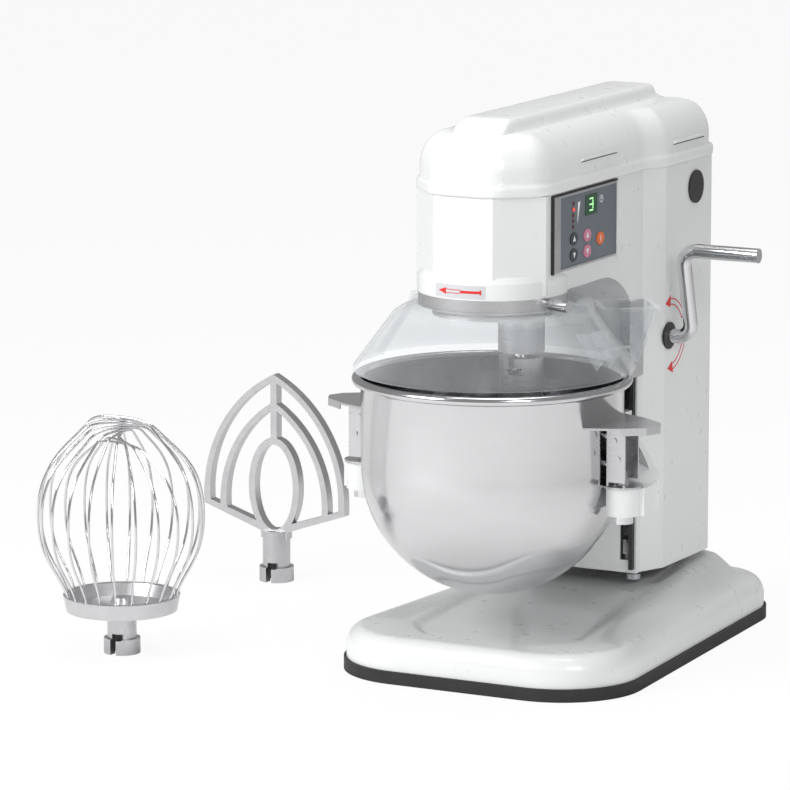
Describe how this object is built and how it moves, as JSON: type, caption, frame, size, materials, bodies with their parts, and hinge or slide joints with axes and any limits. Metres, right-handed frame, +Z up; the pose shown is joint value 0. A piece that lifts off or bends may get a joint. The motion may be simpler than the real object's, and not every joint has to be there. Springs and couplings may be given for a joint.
{
  "type": "planetary stand mixer",
  "caption": "Table-top planetary mixer with lifting bowl cradle, crank, clear swinging bowl guard, side keypad, dough hook, and a wire whisk and flat beater beside it.",
  "frame": {"origin": "on the bowl's axis, at the underside of the rubber base tray", "axes": "+Z up, front of the mixer towards -Y, crank and keypad side +X"},
  "size_m": [0.6493, 0.5474, 0.53],
  "materials": {
    "black_rubber": "matt black rubber",
    "zinc_steel": "bright zinc",
    "white_enamel": "smooth gloss white enamel",
    "black_plastic": "matt black",
    "polished_steel": "polished",
    "cast_aluminium": "satin cast",
    "stainless": "brushed stainless",
    "gear_steel": "dark machined steel",
    "panel_steel": "dark brushed foil",
    "green_lens": "tinted lens",
    "lamp_plastic": "diffused",
    "circuit_board": "lacquered board",
    "clear_plastic": "clear moulded polycarbonate",
    "grey_key": "satin",
    "pink_key": "satin",
    "orange_key": "satin"
  },
  "bodies": {
    "base": {"rubber_base_mat": "black_rubber", "base_bottom_plate": "zinc_steel", "base_screws": "zinc_steel", "base_shell": "white_enamel", "body_casting": "white_enamel", "rear_cover": "white_enamel", "housing_screws": "zinc_steel", "head_cover": "white_enamel", "slot_seals": "black_rubber", "front_rails": "black_plastic", "guide_rods": "polished_steel", "rod_brackets": "cast_aluminium", "crank_bushes": "black_plastic", "steel_band": "stainless", "ring_gear": "gear_steel", "bearing_housing": "cast_aluminium", "main_bearings": "polished_steel", "motor_body": "zinc_steel", "drive_belt": "black_rubber", "control_bezel": "stainless", "keypad_plate": "panel_steel", "display_lens": "green_lens", "status_lights": "lamp_plastic", "control_board": "circuit_board", "side_caps": "black_plastic", "cable_gland": "black_plastic", "guard_rear": "clear_plastic", "feed_chute": "clear_plastic", "guard_bracket": "stainless"},
    "crank": {"crank_handle": "polished_steel", "crank_pinion": "gear_steel"},
    "carriage": {"lift_yoke": "white_enamel", "carriage_block": "cast_aluminium", "carriage_bushes": "cast_aluminium", "lift_rack": "gear_steel", "locating_pins": "polished_steel", "bowl": "polished_steel", "bowl_brackets": "stainless", "bowl_handles": "stainless", "bracket_rivets": "stainless"},
    "planet": {"planet_carrier": "stainless", "main_shaft": "polished_steel", "driven_pulley": "cast_aluminium", "tool_pod": "stainless", "pod_bearings": "polished_steel"},
    "agitator": {"tool_shaft": "polished_steel", "planet_pinion": "gear_steel", "dough_hook": "stainless"},
    "guard": {"guard_front": "clear_plastic"},
    "latch": {"guard_pin": "polished_steel"},
    "speed_up": {"speed_up_key": "grey_key"},
    "speed_down": {"speed_down_key": "grey_key"},
    "timer_up": {"timer_up_key": "pink_key"},
    "timer_down": {"timer_down_key": "pink_key"},
    "start_stop": {"start_stop_key": "orange_key"},
    "motor_rotor": {"motor_pulley": "zinc_steel"},
    "whisk": {"whisk_wires": "polished_steel", "whisk_hub": "cast_aluminium"},
    "beater": {"flat_beater": "cast_aluminium"}
  },
  "joints": [
    {"name": "carriage_lift", "type": "slide", "parent": "base", "child": "carriage", "axis": [0, 0, 1], "range_m": [-0.038, 0]},
    {"name": "crank_turn", "type": "hinge", "parent": "base", "child": "crank", "pos_m": [0, 0.219, 0.298], "axis": [1, 0, 0], "range_deg": [0, 121.5]},
    {"name": "planet_spin", "type": "hinge", "parent": "base", "child": "planet", "pos_m": [0, 0, 0.35], "axis": [0, 0, 1], "continuous": true},
    {"name": "agitator_spin", "type": "hinge", "parent": "planet", "child": "agitator", "pos_m": [0.03, 0, 0.33], "axis": [0, 0, 1], "continuous": true},
    {"name": "motor_spin", "type": "hinge", "parent": "base", "child": "motor_rotor", "pos_m": [0, 0.262, 0.43], "axis": [0, 0, 1], "continuous": true},
    {"name": "guard_swing", "type": "hinge", "parent": "base", "child": "guard", "pos_m": [0, 0, 0.35], "axis": [0, 0, 1], "range_deg": [-110, 0]},
    {"name": "latch_pull", "type": "slide", "parent": "base", "child": "latch", "axis": [0.9659, -0.2588, 0], "range_m": [0, 0.005], "stiffness_N_per_m": 800},
    {"name": "speed_up_press", "type": "slide", "parent": "base", "child": "speed_up", "axis": [-1, 0, 0], "range_m": [0, 0.0005], "stiffness_N_per_m": 1500},
    {"name": "speed_down_press", "type": "slide", "parent": "base", "child": "speed_down", "axis": [-1, 0, 0], "range_m": [0, 0.0005], "stiffness_N_per_m": 1500},
    {"name": "timer_up_press", "type": "slide", "parent": "base", "child": "timer_up", "axis": [-1, 0, 0], "range_m": [0, 0.0005], "stiffness_N_per_m": 1500},
    {"name": "timer_down_press", "type": "slide", "parent": "base", "child": "timer_down", "axis": [-1, 0, 0], "range_m": [0, 0.0005], "stiffness_N_per_m": 1500},
    {"name": "start_stop_press", "type": "slide", "parent": "base", "child": "start_stop", "axis": [-1, 0, 0], "range_m": [0, 0.0005], "stiffness_N_per_m": 1500},
    {"name": "whisk_lift", "type": "slide", "parent": "base", "child": "whisk", "axis": [0, 0, 1], "range_m": [0, 0.3]},
    {"name": "beater_lift", "type": "slide", "parent": "base", "child": "beater", "axis": [0, 0, 1], "range_m": [0, 0.3]}
  ],
  "couplings": [
    {"joint": "crank_turn", "follows": "carriage_lift", "rad_per_m": -55.556},
    {"joint": "agitator_spin", "follows": "planet_spin", "ratio": -3},
    {"joint": "motor_spin", "follows": "planet_spin", "ratio": 4}
  ]
}
